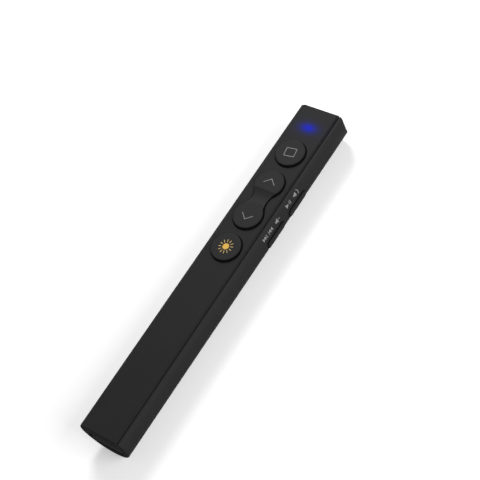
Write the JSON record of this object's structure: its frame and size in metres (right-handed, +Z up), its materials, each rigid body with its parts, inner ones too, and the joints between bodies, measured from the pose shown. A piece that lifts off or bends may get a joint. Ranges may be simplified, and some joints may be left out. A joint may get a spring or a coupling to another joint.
{
  "type": "wireless presentation clicker",
  "caption": "Slim handheld stick with round keys and a page rocker on its flat top, rockers on one side, a laser in the tip, a sliding battery cover and a receiver stored in the tail.",
  "frame": {"origin": "centre of the flat strip under the case that the part rests on, halfway along its length", "axes": "+Z up through the keys, +Y along the body towards the laser tip, +X towards the side rockers"},
  "size_m": [0.0201, 0.1402, 0.0151],
  "materials": {
    "case_black": "soft-touch paint over ABS, matte charcoal",
    "cover_black": "soft-touch paint over ABS, matte charcoal",
    "key_black": "silicone-feel matte charcoal with pale printed marks",
    "side_key_black": "matte black",
    "receiver_black": "matte black",
    "plunger_ivory": "nylon, ivory",
    "pin_steel": "bright drawn wire",
    "screw_steel": "zinc-plated",
    "board_green": "glass-epoxy board with green solder mask",
    "switch_tin": "tinned switch frames",
    "chip_black": "moulded package",
    "crystal_tin": "nickel-plated can",
    "capacitor_tan": "ceramic",
    "led_clear": "clear package, blue light",
    "guide_frosted": "frosted acrylic",
    "barrel_brass": "turned brass",
    "diode_gold": "gold-plated can",
    "lead_tin": "tinned wire",
    "lens_glass": "coated glass",
    "window_red": "tinted clear plastic",
    "cell_sleeve": "plain printed sleeve on a metal can",
    "contact_nickel": "nickel-plated spring steel",
    "plug_steel": "nickel-plated sheet",
    "tongue_white": "white insulator",
    "contact_gold": "gold flash"
  },
  "bodies": {
    "handset": {"bottom_case": "case_black", "top_cover": "cover_black", "page_rocker_pin": "pin_steel", "side_rocker_pins": "pin_steel", "main_board": "board_green", "board_screws": "screw_steel", "top_switches": "switch_tin", "side_switches": "switch_tin", "radio_chip": "chip_black", "crystal": "crystal_tin", "board_capacitors": "capacitor_tan", "status_led": "led_clear", "led_light_guide": "guide_frosted", "laser_barrel": "barrel_brass", "laser_diode": "diode_gold", "laser_leads": "lead_tin", "laser_lens": "lens_glass", "laser_window": "window_red", "battery_cell": "cell_sleeve", "battery_spring": "contact_nickel", "negative_contact": "contact_nickel", "positive_contact": "contact_nickel", "case_screws": "screw_steel"},
    "blank_key": {"blank_button": "key_black", "blank_plunger": "plunger_ivory"},
    "page_key": {"page_rocker": "key_black", "page_plungers": "plunger_ivory"},
    "laser_key": {"laser_button": "key_black", "laser_plunger": "plunger_ivory"},
    "volume_key": {"volume_rocker": "side_key_black", "volume_plungers": "plunger_ivory"},
    "media_key": {"media_rocker": "side_key_black", "media_plungers": "plunger_ivory"},
    "cover": {"battery_cover": "case_black"},
    "receiver": {"receiver_housing": "receiver_black", "receiver_board": "board_green", "receiver_shell": "plug_steel", "receiver_tongue": "tongue_white", "receiver_contacts": "contact_gold"}
  },
  "joints": [
    {"name": "blank_press", "type": "slide", "parent": "handset", "child": "blank_key", "axis": [0, 0, -1], "range_m": [0, 0.0004], "stiffness_N_per_m": 600},
    {"name": "laser_press", "type": "slide", "parent": "handset", "child": "laser_key", "axis": [0, 0, -1], "range_m": [0, 0.0004], "stiffness_N_per_m": 600},
    {"name": "page_rock", "type": "hinge", "parent": "handset", "child": "page_key", "pos_m": [0, 0.0283, 0.0114], "axis": [1, 0, 0], "range_deg": [-2, 2], "stiffness_Nm_per_rad": 0.06},
    {"name": "volume_rock", "type": "hinge", "parent": "handset", "child": "volume_key", "pos_m": [0.0076, 0.0353, 0.0078], "axis": [0, 0, 1], "range_deg": [-2, 2], "stiffness_Nm_per_rad": 0.016},
    {"name": "media_rock", "type": "hinge", "parent": "handset", "child": "media_key", "pos_m": [0.0076, 0.0213, 0.0078], "axis": [0, 0, 1], "range_deg": [-2, 2], "stiffness_Nm_per_rad": 0.016},
    {"name": "cover_slide", "type": "slide", "parent": "handset", "child": "cover", "axis": [0, -1, 0], "range_m": [0, 0.069]},
    {"name": "receiver_pull", "type": "slide", "parent": "handset", "child": "receiver", "axis": [0, -1, 0], "range_m": [0, 0.02]}
  ]
}
